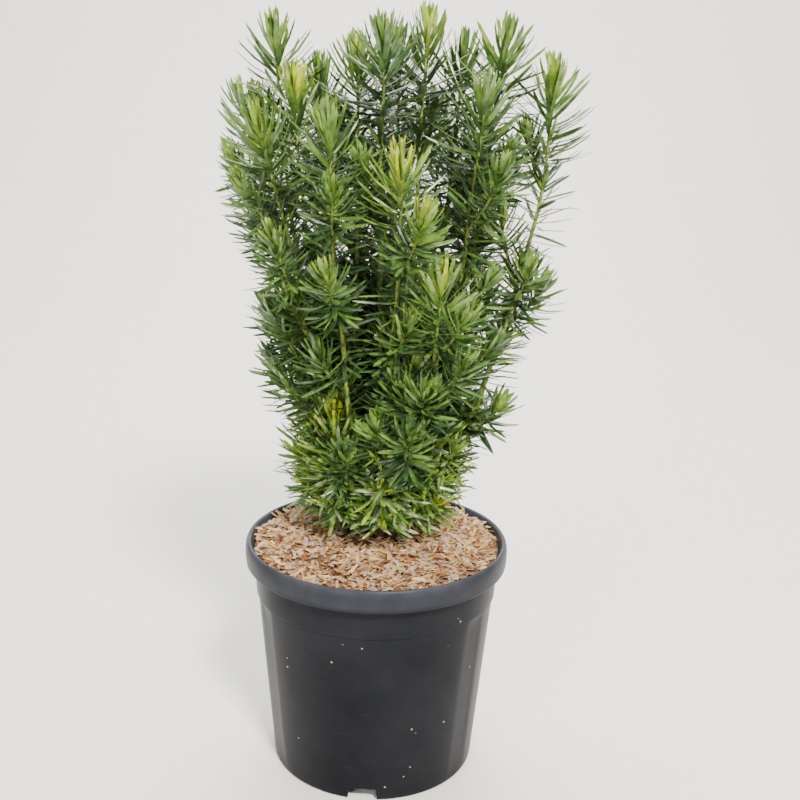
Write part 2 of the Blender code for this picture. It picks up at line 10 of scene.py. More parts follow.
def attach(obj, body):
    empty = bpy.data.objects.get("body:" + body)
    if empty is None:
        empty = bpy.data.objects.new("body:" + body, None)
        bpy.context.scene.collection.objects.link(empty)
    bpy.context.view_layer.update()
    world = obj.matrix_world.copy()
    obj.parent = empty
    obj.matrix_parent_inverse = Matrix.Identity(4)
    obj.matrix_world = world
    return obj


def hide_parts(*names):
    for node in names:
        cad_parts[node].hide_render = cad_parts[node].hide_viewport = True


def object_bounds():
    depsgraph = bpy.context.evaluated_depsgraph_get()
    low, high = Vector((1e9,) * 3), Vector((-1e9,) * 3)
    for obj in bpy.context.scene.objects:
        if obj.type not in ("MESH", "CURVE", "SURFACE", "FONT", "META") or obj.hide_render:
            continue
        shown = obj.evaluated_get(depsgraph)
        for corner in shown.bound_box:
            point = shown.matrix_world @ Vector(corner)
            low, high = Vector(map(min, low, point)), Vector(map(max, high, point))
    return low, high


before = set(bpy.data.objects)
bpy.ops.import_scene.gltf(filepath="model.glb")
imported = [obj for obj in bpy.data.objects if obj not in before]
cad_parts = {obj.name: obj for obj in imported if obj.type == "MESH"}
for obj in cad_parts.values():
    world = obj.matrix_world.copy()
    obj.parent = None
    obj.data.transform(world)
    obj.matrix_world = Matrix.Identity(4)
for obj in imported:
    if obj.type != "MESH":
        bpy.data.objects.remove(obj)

cadLow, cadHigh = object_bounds()
nodeNames = sorted(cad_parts)
needleNodes = [name for name in nodeNames if name.startswith("needles_")]
boughNodes = [name for name in nodeNames if name.startswith("bough_")] + ["stem_base"]
turn = 2.0 * math.pi
print("frame loaded:", len(nodeNames), "nodes")


# Small helpers for materials and meshes. A colour Mix node's sockets share their names
# with its other kinds, so they go by number, as a Math node's do
mixFactor = 0
mixUnder = 6
mixOver = 7
mixResult = 2
mergeDistance = 0.0000001


def linear(hexCode):
    # sRGB hex to linear colour
    values = [int(hexCode[i:i + 2], 16) / 255.0 for i in (1, 3, 5)]
    return tuple(v / 12.92 if v <= 0.04045 else ((v + 0.055) / 1.055) ** 2.4 for v in values)


def addNode(tree, kind, values=None, links=None, **settings):
    # One node: its plain socket values, incoming links and properties. A kind that doesn't
    # say Node is a shader node
    node = tree.nodes.new(kind if "Node" in kind else "ShaderNode" + kind)
    for key, value in settings.items():
        setattr(node, key, value)
    for key, value in (values or {}).items():
        node.inputs[key].default_value = value
    for key, source in (links or {}).items():
        tree.links.new(source, node.inputs[key])
    return node


def newObject(name, data):
    made = bpy.data.objects.new(name, data)
    bpy.context.scene.collection.objects.link(made)
    return made


def newMaterial(name):
    material = bpy.data.materials.new(name)
    material.use_nodes = True
    return material, material.node_tree, material.node_tree.nodes["Principled BSDF"]


def rampStops(node, stops):
    ramp = node.color_ramp
    while len(ramp.elements) > 1:
        ramp.elements.remove(ramp.elements[-1])
    ramp.elements[0].position = stops[0][0]
    ramp.elements[0].color = (*linear(stops[0][1]), 1.0)
    for position, hexCode in stops[1:]:
        ramp.elements.new(position).color = (*linear(hexCode), 1.0)


def objectCoordinates(tree, scale=(1.0, 1.0, 1.0)):
    coordinates = addNode(tree, "TexCoord")
    mapping = addNode(tree, "Mapping", {"Scale": scale}, {"Vector": coordinates.outputs["Object"]})
    return mapping.outputs["Vector"]


def meshPiece(name, vertices, faces, materials, smooth=True):
    mesh = bpy.data.meshes.new(name)
    mesh.from_pydata([tuple(v) for v in vertices], [], faces)
    mesh.update()
    for material in materials:
        mesh.materials.append(material)
    if smooth:
        mesh.shade_smooth()
    return newObject(name, mesh)


def outwardNormals(mesh):
    shape = bmesh.new()
    shape.from_mesh(mesh)
    bmesh.ops.remove_doubles(shape, verts=shape.verts, dist=mergeDistance)
    bmesh.ops.recalc_face_normals(shape, faces=shape.faces)
    shape.to_mesh(mesh)
    shape.free()


def ringFaces(low, count, inwards=False):
    # Faces between one closed ring of points and the next
    faces = []
    for corner in range(count):
        after = (corner + 1) % count
        face = (low + corner, low + count + corner, low + count + after, low + after)
        faces.append((face[0], face[3], face[2], face[1]) if inwards else face)
    return faces


def settle(piece, replaced):
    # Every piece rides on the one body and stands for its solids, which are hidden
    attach(piece, "root")
    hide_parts(*replaced)


def finishSurface(tree, shader, colour, plain, height, bump):
    # Colour and relief come by link; what is the same all over is set on the shader itself
    tree.links.new(colour, shader.inputs["Base Color"])
    if bump:
        relief = addNode(tree, "Bump", bump, {"Height": height})
        tree.links.new(relief.outputs["Normal"], shader.inputs["Normal"])
    for key, value in plain.items():
        shader.inputs[key].default_value = value


# Camera: the photograph's own view, solved from the ellipses of the pot's rim and foot
cameraPlan = dict(
    distance=1.258,  # metres in front of the pot's axis
    height=0.8056,
    pitch=15.96,  # degrees down
    roll=1.11,  # degrees
    lens=51.25, sensor=36.0,
    shift=0.0261,  # the pot stands a little left of the middle of the picture
    clipStart=0.01,
)


def makeCamera():
    data = bpy.data.cameras.new("photoCamera")
    data.lens = cameraPlan["lens"]
    data.sensor_width = cameraPlan["sensor"]
    data.shift_x = cameraPlan["shift"]
    data.clip_start = cameraPlan["clipStart"]
    camera = newObject("photoCamera", data)
    tilt = Matrix.Rotation(math.radians(90.0 - cameraPlan["pitch"]), 4, "X")
    roll = Matrix.Rotation(math.radians(cameraPlan["roll"]), 4, "Z")
    place = Matrix.Translation((0.0, -cameraPlan["distance"], cameraPlan["height"]))
    camera.matrix_world = place @ tilt @ roll
    bpy.context.scene.camera = camera


makeCamera()


# Polypropylene, black and injection-moulded: a satin skin with dried specks and level scuffs,
# pale dust with a painted bluish sky sheen on faces that look up, and a painted bluish grey highlight on the
# lip
plastic = dict(
    cloud={"Scale": 9.0, "Detail": 6.0, "Roughness": 0.6},  # black and gloss drift over 110 mm
    blacks=((0.30, "#101116"), (0.52, "#181a1f"), (0.75, "#202126")),
    gloss={"To Min": 0.30, "To Max": 0.44},
    speck={"Scale": 75.0, "Randomness": 1.0},  # one at most in every 13 mm
    speckSize=0.085,  # radius as a share of that, so about 2 mm across
    patch={"Scale": 21.0, "Detail": 2.0}, patchLimit=0.60,
    scuffStretch=(14.0, 14.0, 420.0),  # about 70 mm long and 2 mm high
    scuff={"Scale": 1.0, "Detail": 3.0},
    scuffRange={"From Min": 0.66, "From Max": 0.76, "To Max": 0.30},
    dustAndSkySheenRange={"From Min": 0.02, "From Max": 0.9, "To Max": 0.6},  # dust with a painted sky sheen, by the normal's height
    lipSheenRange={"From Min": 0.250, "From Max": 0.258, "To Max": 0.34},  # painted highlight on the lip, by height in metres
    coats=("#9b958c", "#33343a", "#5c606b"),  # specks, scuffs, then dust with the painted sheen and lip highlight
    grit={"Scale": 900.0, "Detail": 2.0},  # mould grain of about 1 mm
    bump={"Strength": 0.12, "Distance": 0.0004}, shader={"IOR": 1.49, "Specular IOR Level": 0.08},
)


def mouldedPlastic():
    material, tree, shader = newMaterial("polypropylene, injection-moulded")
    here = objectCoordinates(tree)
    cloud = addNode(tree, "TexNoise", plastic["cloud"], {"Vector": here})
    tone = addNode(tree, "ValToRGB", links={"Fac": cloud.outputs["Fac"]})
    rampStops(tone, plastic["blacks"])
    gloss = addNode(tree, "MapRange", plastic["gloss"], {"Value": cloud.outputs["Fac"]})
    tree.links.new(gloss.outputs[0], shader.inputs["Roughness"])
    # Dried mud in round specks, here and there
    speck = addNode(tree, "TexVoronoi", plastic["speck"], {"Vector": here})
    small = addNode(tree, "Math", {1: plastic["speckSize"]}, {0: speck.outputs["Distance"]},
                    operation="LESS_THAN")
    patch = addNode(tree, "TexNoise", plastic["patch"], {"Vector": here})
    some = addNode(tree, "Math", {1: plastic["patchLimit"]}, {0: patch.outputs["Fac"]},
                   operation="GREATER_THAN")
    mud = addNode(tree, "Math", {}, {0: small.outputs[0], 1: some.outputs[0]}, operation="MULTIPLY")
    # Level scuffs where pots have rubbed against each other
    stretched = objectCoordinates(tree, plastic["scuffStretch"])
    scuff = addNode(tree, "TexNoise", plastic["scuff"], {"Vector": stretched})
    rubbed = addNode(tree, "MapRange", plastic["scuffRange"], {"Value": scuff.outputs["Fac"]})
    # Dust with a painted sky sheen on what looks up and a painted highlight on the lip, both in patches
    facing = addNode(tree, "NewGeometry")
    upward = addNode(tree, "SeparateXYZ", links={"Vector": facing.outputs["Normal"]})
    dustFilmAndSkySheen = addNode(tree, "MapRange", plastic["dustAndSkySheenRange"], {"Value": upward.outputs["Z"]})
    place = addNode(tree, "SeparateXYZ", links={"Vector": here})
    paintedLipSheen = addNode(tree, "MapRange", plastic["lipSheenRange"], {"Value": place.outputs["Z"]})
    dustAndLipSheen = addNode(tree, "Math", {}, {0: dustFilmAndSkySheen.outputs[0], 1: paintedLipSheen.outputs[0]}, operation="ADD")
    patchyDustAndSheen = addNode(tree, "Math", {}, {0: dustAndLipSheen.outputs[0], 1: patch.outputs["Fac"]}, operation="MULTIPLY")
    shown = tone.outputs["Color"]
    for factor, hexCode in zip((mud, rubbed, patchyDustAndSheen), plastic["coats"]):
        coat = addNode(tree, "Mix", {mixOver: (*linear(hexCode), 1.0)},
                       {mixFactor: factor.outputs[0], mixUnder: shown}, data_type="RGBA")
        shown = coat.outputs[mixResult]
    grit = addNode(tree, "TexNoise", plastic["grit"], {"Vector": here})
    finishSurface(tree, shader, shown, plastic["shader"], grit.outputs["Fac"], plastic["bump"])
    return material


# Bark and leaf, each mottled by noise between two colours. Shredded bark is patched over about
# 8 mm, with fibres 1.5 mm apart; a needle's waxy cuticle is mottled over about 10 mm; bark of
# stems has ridges 2 to 3 mm across that run up the stem
shredded = dict(
    stretch=(1.0, 1.0, 1.0), grain={"Scale": 620.0, "Detail": 3.0, "Distortion": 1.5},
    patch={"Scale": 120.0, "Detail": 5.0}, grainShare=0.45,
    tones=(0.48, 0.86),  # where the dark and the light colour stand on the ramp
    bump={"Strength": 0.5, "Distance": 0.0006}, shader={"Specular IOR Level": 0.25},
)
cuticle = dict(
    stretch=(1.0, 1.0, 1.0), grain={"Scale": 95.0, "Detail": 3.0}, tones=(0.36, 0.64),
    shader={"IOR": 1.45, "Specular IOR Level": 0.85},
)
ridged = dict(
    stretch=(1.0, 1.0, 0.18), grain={"Scale": 1.0, "Detail": 5.0, "Distortion": 0.6},
    tones=(0.35, 0.66), bump={"Strength": 0.6, "Distance": 0.0007}, shader={},
)


def organic(look, name, dark, light, roughness, fineness=1.0):
    material, tree, shader = newMaterial(name)
    here = objectCoordinates(tree, [fineness * part for part in look["stretch"]])
    grain = addNode(tree, "TexNoise", look["grain"], {"Vector": here}).outputs["Fac"]
    mixed = grain
    if "patch" in look:
        patch = addNode(tree, "TexNoise", look["patch"], {"Vector": here})
        both = addNode(tree, "Math", {1: look["grainShare"]}, {0: grain, 2: patch.outputs["Fac"]},
                       operation="MULTIPLY_ADD")
        mixed = both.outputs[0]
    tone = addNode(tree, "ValToRGB", links={"Fac": mixed})
    rampStops(tone, tuple(zip(look["tones"], (dark, light))))
    plain = {"Roughness": roughness, **look["shader"]}
    finishSurface(tree, shader, tone.outputs["Color"], plain, grain, look.get("bump"))
    return material


# Pot: one turned skin with flat strips down the wall and notches through the foot
pot = dict(
    height=0.278, wall=0.003, steps=192, sharpAngle=math.radians(32.0),
    baseRadius=0.1214, shoulderRadius=0.1403, shoulderHeight=0.2145,
    ringHeights=(0.212, 0.208, 0.195, 0.165, 0.135, 0.105, 0.075, 0.048, 0.030, 0.016, 0.008),
    # where the wall turns in to the foot, inwards and up; then the hollow ring under the floor
    heelTop=(0.0001, 0.004), heelRound=(0.0030, 0.0026), footTaper=0.0008,
    channel=0.016, padRadius=0.088,
    # collar: rise above the shoulder, and a slight bow as radius and height from above
    collarBottom=0.1424, collarRise=(0.0020, 0.0028), collarTop=0.144,
    collarBow=((0.1436, 0.242), (0.1430, 0.229)), edgeRound=(0.0010, 0.0012),
    # lip: radii, heights of its roundings, and its edges as steps sideways and up or down
    lipHeight=0.026, lipRadius=0.155, lipFoot=0.154, lipEdge=0.0008,
    lipCrest=0.151, lipInner=0.1475, crestOutside=0.010, crestInside=0.0038,
    lipFace=((0.15495, 0.017), (0.1544, 0.023)), lipUnder=((0.0022, 0.0008), (0.003, 0.0045)),
    lipRoot=((0.0008, 0.0045), (0.0, 0.003)), lipBack=(0.0006, 0.0042), innerTop=0.016,
    # flat strips end near the ground and the shoulder, after a fade at each
    strips=6, stripAzimuth=math.radians(-95.0), stripWidth=0.030, stripDepth=0.0004,
    stripEnd=0.001, stripFade=(0.012, 0.004),
    # notches: width and height at the ground and at the top
    notches=3, notchWidth=(0.0367, 0.030), notchReach=(-0.005, 0.0145), notchDepth=0.014,
)


def outerWall(height):
    slope = (pot["shoulderRadius"] - pot["baseRadius"]) * height / pot["shoulderHeight"]
    return pot["baseRadius"] + slope


def arcPoints(centre, halfSize, start, stop, count):
    # Part of an ellipse in degrees, without its first point
    points = []
    for step in range(1, count + 1):
        angle = math.radians(start + (stop - start) * step / count)
        points.append((centre[0] + halfSize[0] * math.cos(angle), centre[1] + halfSize[1] * math.sin(angle)))
    return points


def potProfile():
    # From the inside floor up the wall, over the lip, down the outside and in under the foot
    top = pot["height"]
    wall = pot["wall"]
    channel = pot["channel"]
    pad = pot["padRadius"]
    crest = pot["lipCrest"]
    lipFoot = top - pot["lipHeight"]
    shoulder = pot["shoulderHeight"]
    innerTop = top - pot["innerTop"]
    across, up = pot["edgeRound"]
    points = [(0.0, wall), (pad - wall, wall), (pad, channel + wall)]
    points += [(outerWall(z) - wall, z) for z in (channel + wall, innerTop)]
    points += [(pot["lipInner"] - pot["lipBack"][0], top - pot["lipBack"][1])]
    inside = (crest - pot["lipInner"], pot["crestInside"])
    outside = (pot["lipRadius"] - crest, pot["crestOutside"])
    points += arcPoints((crest, top - inside[1]), inside, 180, 90, 6)
    points += arcPoints((crest, top - outside[1]), outside, 90, 0, 10)
    points += [(radius, top - depth) for radius, depth in pot["lipFace"]]
    points += arcPoints((pot["lipFoot"] - pot["lipEdge"], lipFoot + up), (across, up), 0, -90, 4)
    points += [(pot["lipFoot"] - inwards, lipFoot + rise) for inwards, rise in pot["lipUnder"]]
    points += [(pot["collarTop"] + outwards, lipFoot + rise) for outwards, rise in pot["lipRoot"]]
    points += pot["collarBow"]
    points += [(pot["collarBottom"], shoulder + pot["collarRise"][1])]
    collarEdge = (pot["collarBottom"] - across, shoulder + pot["collarRise"][0])
    points += arcPoints(collarEdge, (across, up), 0, -90, 3)
    points += [(pot["shoulderRadius"], shoulder)]
    points += [(outerWall(z), z) for z in pot["ringHeights"]]
    points += [(outerWall(pot["heelTop"][1]) - pot["heelTop"][0], pot["heelTop"][1])]
    heel = pot["heelRound"]
    points += arcPoints((outerWall(0.0) - heel[0], heel[1]), heel, 0, -90, 5)
    points += [(outerWall(0.0) - wall - pot["footTaper"], 0.0), (outerWall(channel) - wall, channel)]
    points += [(pad + wall, channel), (pad, 0.0), (0.0, 0.0)]
    return points


def stripRadius(radius, height, azimuth):
    # The wall is shaved flat on each strip; the collar and the inner skin stay round
    above = height - pot["stripEnd"]
    below = pot["shoulderHeight"] - pot["stripEnd"] - height
    if below < 0.0 or above < 0.0 or radius < outerWall(height) - 0.5 * pot["wall"]:
        return radius
    pitch = turn / pot["strips"]
    away = (azimuth - pot["stripAzimuth"] + pitch / 2.0) % pitch - pitch / 2.0
    fade = min(1.0, above / pot["stripFade"][0]) * min(1.0, below / pot["stripFade"][1])
    half = 0.5 * pot["stripWidth"] / radius
    flat = radius * math.cos(half) / math.cos(away) - pot["stripDepth"]
    inside = flat if abs(away) < half else radius
    return radius + (min(inside, radius) - radius) * fade


def turnedMesh(profile, steps, shape=None):
    # A closed turned skin; the first and last points lie on the axis
    vertices = [(0.0, 0.0, profile[0][1])]
    for radius, height in profile[1:-1]:
        for step in range(steps):
            azimuth = turn * step / steps
            reach = shape(radius, height, azimuth) if shape else radius
            vertices.append((reach * math.cos(azimuth), reach * math.sin(azimuth), height))
    vertices.append((0.0, 0.0, profile[-1][1]))
    last = len(vertices) - 1
    rings = len(profile) - 2
    faces = []
    for step in range(steps):
        after = (step + 1) % steps
        faces.append((0, 1 + step, 1 + after))
        for ring in range(rings - 1):
            low = 1 + ring * steps
            high = low + steps
            faces.append((low + step, high + step, high + after, low + after))
        final = 1 + (rings - 1) * steps
        faces.append((final + after, final + step, last))
    return vertices, faces


def notchCutter(azimuth):
    # A trapezium, wider at the ground, through the foot ring only
    bpy.ops.mesh.primitive_cube_add(size=1.0)
    cutter = bpy.context.object
    for vertex in cutter.data.vertices:
        side, along, up = vertex.co
        level = 1 if up > 0 else 0
        reach = side * pot["notchDepth"] + pot["baseRadius"]
        vertex.co = (reach, along * pot["notchWidth"][level], pot["notchReach"][level])
    cutter.data.transform(Matrix.Rotation(azimuth, 4, "Z"))
    return cutter


def makePot():
    vertices, faces = turnedMesh(potProfile(), pot["steps"], stripRadius)
    body = meshPiece("nurseryPot", vertices, faces, [mouldedPlastic()])
    outwardNormals(body.data)
    for index in range(pot["notches"]):
        cutter = notchCutter(pot["stripAzimuth"] + turn * index / pot["notches"])
        cut = body.modifiers.new("notch", "BOOLEAN")
        cut.operation = "DIFFERENCE"
        cut.object = cutter
        bpy.context.view_layer.objects.active = body
        bpy.ops.object.modifier_apply(modifier=cut.name)
        bpy.data.objects.remove(cutter, do_unlink=True)
    body.data.shade_smooth()
    body.data.set_sharp_from_angle(angle=pot["sharpAngle"])
    settle(body, ["container"])
    print("pot made:", len(body.data.polygons), "faces")


makePot()


# Mulch: a crumbly bed, then bark chips scattered over it by Geometry Nodes
mulch = dict(
    top=0.2832, flatRadius=0.100, edgeHeight=0.2705, edgeRadius=0.1443, edgeCurve=1.5,
    firstRing=0.004, rings=44, steps=132,
    gap=0.0036,  # from the pot's outside: its wall and 0.6 mm
    skirt=((0.258, 0.262), (0.020, 0.0195)),  # height that the wall is read at, and height
    # waves of 33 and 38 mm with finer ones of 14 mm, mostly below the bed's level
    lumpHeight=0.0024, lumpLevel=0.6, lumpsFrom=0.265, coarseWaves=(190, 165),
    coarsePhases=(1.3, -0.7), fineWaves=(330, 290), fineShare=0.6,
    # chips lie on a disc that stops short of the lip
    fieldRadius=0.1405, fieldCore=0.0005, fieldRings=16, fieldSteps=60, fieldRise=0.0012,
    # tilt in radians about two axes; a seed is the first one and the step between kinds
    variants=3, tilt=0.62, chipSize=(0.40, 1.45), shapeSeed=(50, 7), scatterSeed=(11, 10),
    roughness=0.88, bed=("potting mix, fine bark crumb", "#3d2b1d", "#80634a"),
    chipKinds=[
        # name, dark, light, count per square metre, length, width
        ("shredded bark, tan", "#80603f", "#c89f74", 17000, 0.018, 0.0046),
        ("shredded bark, pale", "#a98862", "#e2c8a0", 7500, 0.021, 0.0034),
        ("shredded bark, weathered grey", "#857667", "#c0ae9a", 7500, 0.017, 0.0062),
        ("shredded bark, russet", "#6a4329", "#a36c44", 7000, 0.015, 0.0050),
        ("shredded bark, ochre", "#8e7440", "#c8ac66", 6500, 0.020, 0.0034),
        ("shredded bark, dark crumb", "#4a3525", "#80624a", 8000, 0.009, 0.0048),
    ],
)

# A chip's shape, in shares of its width; bend, uneven and tear in shares of its length
sliver = dict(
    sections=5, taper=1.5, ragged=(0.75, 1.1), thickness=0.16,
    thicknessRange=(0.8, 1.3), skew=0.10, underside=0.8, bend=0.10, uneven=0.02, tear=0.04,
)


def mulchHeight(radius):
    # Flat in the middle, rounding down to the pot's wall
    if radius < mulch["flatRadius"]:
        return mulch["top"]
    share = (radius - mulch["flatRadius"]) / (mulch["edgeRadius"] - mulch["flatRadius"])
    return mulch["top"] - (mulch["top"] - mulch["edgeHeight"]) * share ** mulch["edgeCurve"]


def lump(x, y):
    # Slow waves, so that the bed isn't level
    waves = mulch["coarseWaves"]
    phases = mulch["coarsePhases"]
    coarse = math.sin(x * waves[0] + phases[0]) * math.cos(y * waves[1] + phases[1])
    fine = math.sin(x * mulch["fineWaves"][0] - y * mulch["fineWaves"][1])
    wave = (coarse + mulch["fineShare"] * fine) / (1.0 + mulch["fineShare"])
    return mulch["lumpHeight"] * (wave - mulch["lumpLevel"])


def makeMulchBed():
    first = mulch["firstRing"]
    rings = mulch["rings"]
    radii = [first + (mulch["edgeRadius"] - first) * i / rings for i in range(rings + 1)]
    profile = [(0.0, mulch["top"])] + [(r, mulchHeight(r)) for r in radii]
    profile += [(outerWall(level) - mulch["gap"], height) for level, height in mulch["skirt"]]
    profile.append((0.0, profile[-1][1]))
    vertices, faces = turnedMesh(profile, mulch["steps"])
    lifted = [(x, y, z + lump(x, y) if z > mulch["lumpsFrom"] else z) for x, y, z in vertices]
    bed = meshPiece("mulchBed", lifted, faces, [organic(shredded, *mulch["bed"], mulch["roughness"])])
    outwardNormals(bed.data)
    bed.data.shade_smooth()
    settle(bed, ["potting_mix"])


def chipMesh(length, width, seed):
    # A split sliver: bent lengthways, with torn ends and a wedge section
    draw = random.Random(seed)
    vertices = []
    sections = sliver["sections"]
    for index in range(sections):
        along = index / (sections - 1) - 0.5
        half = 0.5 * width * (1.0 - sliver["taper"] * along * along) * draw.uniform(*sliver["ragged"])
        thick = sliver["thickness"] * width * draw.uniform(*sliver["thicknessRange"])
        rise = length * sliver["bend"] * (0.25 - along * along)
        rise += draw.uniform(-sliver["uneven"], sliver["uneven"]) * length
        x = along * length
        skew = draw.uniform(-sliver["skew"], sliver["skew"]) * width
        torn = x + sliver["tear"] * length * draw.uniform(-1, 1)
        vertices += [(x, skew - half, rise), (torn, skew + half, rise)]
        vertices += [(x, skew + side * half * sliver["underside"], rise - thick) for side in (1, -1)]
    last = 4 * sections - 1
    faces = [(0, 1, 2, 3), (last, last - 1, last - 2, last - 3)]
    for index in range(sections - 1):
        faces += ringFaces(4 * index, 4)
    return vertices, faces


def scatterTree():
    # Points on the field's faces, a chip on each, turned and tipped at random
    tree = bpy.data.node_groups.new("scatter chips", "GeometryNodeTree")
    sockets = tree.interface
    for name, kind in (("Geometry", "Geometry"), ("Chip", "Object"), ("Density", "Float"),
                       ("Seed", "Int"), ("Tilt", "Float"), ("Bark", "Material")):
        sockets.new_socket(name, in_out="INPUT", socket_type="NodeSocket" + kind)
    sockets.new_socket("Geometry", in_out="OUTPUT", socket_type="NodeSocketGeometry")
    start = addNode(tree, "NodeGroupInput").outputs
    points = addNode(tree, "GeometryNodeDistributePointsOnFaces", links={
        "Mesh": start["Geometry"], "Density": start["Density"], "Seed": start["Seed"]})
    chip = addNode(tree, "GeometryNodeObjectInfo", links={"Object": start["Chip"]})
    tilt = addNode(tree, "Math", {1: -1.0}, {0: start["Tilt"]}, operation="MULTIPLY")
    low = addNode(tree, "CombineXYZ", links={"X": tilt.outputs[0], "Y": tilt.outputs[0]})
    high = addNode(tree, "CombineXYZ", {"Z": turn}, {"X": start["Tilt"], "Y": start["Tilt"]})
    spin = addNode(tree, "FunctionNodeRandomValue", data_type="FLOAT_VECTOR", links={
        "Min": low.outputs[0], "Max": high.outputs[0], "Seed": start["Seed"]})
    smallest, largest = mulch["chipSize"]
    size = addNode(tree, "FunctionNodeRandomValue", {2: smallest, 3: largest}, {"Seed": start["Seed"]},
                   data_type="FLOAT")
    placed = addNode(tree, "GeometryNodeInstanceOnPoints", links={
        "Points": points.outputs["Points"], "Instance": chip.outputs["Geometry"],
        "Rotation": spin.outputs[0], "Scale": size.outputs[1]})
    real = addNode(tree, "GeometryNodeRealizeInstances", links={"Geometry": placed.outputs["Instances"]})
    dressed = addNode(tree, "GeometryNodeSetMaterial", links={
        "Geometry": real.outputs["Geometry"], "Material": start["Bark"]})
    addNode(tree, "NodeGroupOutput", links={"Geometry": dressed.outputs["Geometry"]})
    return tree


def chipField():
    # The faces that chips lie on: a disc just over the bed, with its lumps
    steps = mulch["fieldSteps"]
    rings = mulch["fieldRings"]
    radii = [mulch["fieldCore"]] + [mulch["fieldRadius"] * (i + 1) / rings for i in range(rings)]
    vertices = []
    for radius in radii:
        for step in range(steps):
            azimuth = turn * step / steps
            x = math.cos(azimuth) * radius
            y = math.sin(azimuth) * radius
            vertices.append((x, y, mulchHeight(radius) + lump(x, y) + mulch["fieldRise"]))
    faces = []
    for ring in range(rings):
        faces += ringFaces(ring * steps, steps)
    return vertices, faces


def scatteredMesh(tree, field, chip, settings):
    # Runs the tree on a carrier and keeps its result as a plain mesh
    carrier = meshPiece("chipCarrier", *field, [])
    modifier = carrier.modifiers.new("scatter", "NODES")
    modifier.node_group = tree
    sockets = {item.name: item.identifier for item in tree.interface.items_tree if item.in_out == "INPUT"}
    for name, value in settings.items():
        modifier[sockets[name]] = value
    graph = bpy.context.evaluated_depsgraph_get()
    mesh = bpy.data.meshes.new_from_object(carrier.evaluated_get(graph))
    bpy.data.objects.remove(carrier, do_unlink=True)
    bpy.data.objects.remove(chip, do_unlink=True)
    return mesh


def scatterChips():
    tree = scatterTree()
    field = chipField()
    variants = mulch["variants"]
    count = 0
    for number, (name, dark, light, density, length, width) in enumerate(mulch["chipKinds"]):
        bark = organic(shredded, name, dark, light, mulch["roughness"])
        joined = bmesh.new()
        for variant in range(variants):
            shapeSeed = mulch["shapeSeed"][0] + number * mulch["shapeSeed"][1] + variant
            vertices, faces = chipMesh(length, width, shapeSeed)
            chip = meshPiece("chipShape", vertices, faces, [bark], False)
            outwardNormals(chip.data)
            joined.from_mesh(scatteredMesh(tree, field, chip, {
                "Chip": chip, "Density": density / variants, "Tilt": mulch["tilt"], "Bark": bark,
                "Seed": mulch["scatterSeed"][0] + number * mulch["scatterSeed"][1] + variant}))
        mesh = bpy.data.meshes.new(f"mulchChips{number + 1}")
        joined.to_mesh(mesh)
        joined.free()
        mesh.materials.append(bark)
        for polygon in mesh.polygons:
            polygon.material_index = 0
        settle(newObject(mesh.name, mesh), ["potting_mix"])
        count += len(mesh.polygons)
    print("mulch made:", count, "chip faces")


makeMulchBed()
scatterChips()


# Shoots: the same plan as the solids, carried on to finer twigs and needles
plan = dict(
    mixTop=0.284,
    # the middle shoots stand on a fork, the others begin a little below the mulch
    forkRadius=0.0102, forkRise=0.030, footSink=0.006, footRise=0.010,
    footSpread=0.45, footClear=0.042, footRadius=0.0050, tipRadius=0.0012,
    # the feet crowd closer to the crown, and further back, than in the plain solids
    footDraw=0.66, footBack=0.014, bowHeight=0.55, samples=60, waver=0.0018, seed=900,
    # a slow and a quick wave for each level axis, in radians over a shoot
    waves=((9.0, 23.0), (8.0, 21.0)), quickShare=0.5, needlesFrom=0.355, startSpread=0.035,
    # stem tip, how early the shoot bows outwards, side twigs, and how fresh its top is
    tall=[
        ("leftTall", (-0.120, 0.028, 0.840), 0.80, 4, 0.55),
        ("leftInner", (-0.095, -0.030, 0.790), 0.80, 3, 0.90),
        ("leftOuter", (-0.160, 0.062, 0.769), 0.55, 3, 0.45),
        ("leftFront", (-0.128, -0.078, 0.752), 0.40, 5, 0.55),
        ("leftBack", (-0.074, 0.075, 0.798), 0.80, 3, 0.40),
        ("frontLeft", (-0.055, -0.085, 0.752), 0.85, 4, 0.55),
        ("centreLeft", (-0.030, 0.012, 0.822), 1.00, 3, 0.90),
        ("centreFront", (-0.002, -0.045, 0.838), 1.00, 3, 0.50),
        ("centreTop", (0.043, 0.005, 0.848), 0.90, 3, 0.75),
        ("centreBack", (0.016, 0.080, 0.830), 0.90, 3, 0.35),
        ("rightInner", (0.085, 0.042, 0.824), 0.80, 3, 0.30),
        ("rightTall", (0.126, -0.002, 0.838), 0.75, 3, 0.50),
        ("rightFront", (0.102, -0.065, 0.784), 0.80, 4, 0.35),
        ("rightOuter", (0.177, -0.012, 0.801), 1.00, 1, 0.60),
        ("frontCentre", (0.018, -0.112, 0.716), 0.85, 4, 1.00),
        ("frontRight", (0.062, -0.118, 0.602), 0.80, 4, 0.70),
        ("rightBack", (0.116, 0.098, 0.766), 0.80, 4, 0.40),
        ("backLeft", (-0.066, 0.132, 0.762), 0.80, 4, 0.45),
        ("backMiddle", (0.006, 0.146, 0.784), 0.80, 4, 0.55),
        ("backRight", (0.070, 0.150, 0.748), 0.75, 4, 0.45),
    ],
    # more side twigs where the photograph shows them: height, azimuth, length
    extraTwigs={
        "rightOuter": [
            (0.585, 175.0, 0.085), (0.690, 150.0, 0.060),
            (0.560, -75.0, 0.055), (0.405, -25.0, 0.055)],
        "rightInner": [(0.620, 20.0, 0.080)],
        "leftOuter": [(0.665, 200.0, 0.060)],
    },
)

# Low shoots: a ring of short ones round the foot of the clump, set back a little
lowShoots = dict(
    count=8, azimuth=math.radians(-173.0), foot=0.044, back=0.026,
    tipReach=0.081, tipBack=0.6, tipHeight=0.432, tipSpread=0.026,
    bow=0.9, waver=0.0012, footRadius=0.0036, tipRadius=0.0011,
    fresh=(0.4, 1.0), twigsFrom=0.298, needlesFrom=0.318, seed=1500,
)

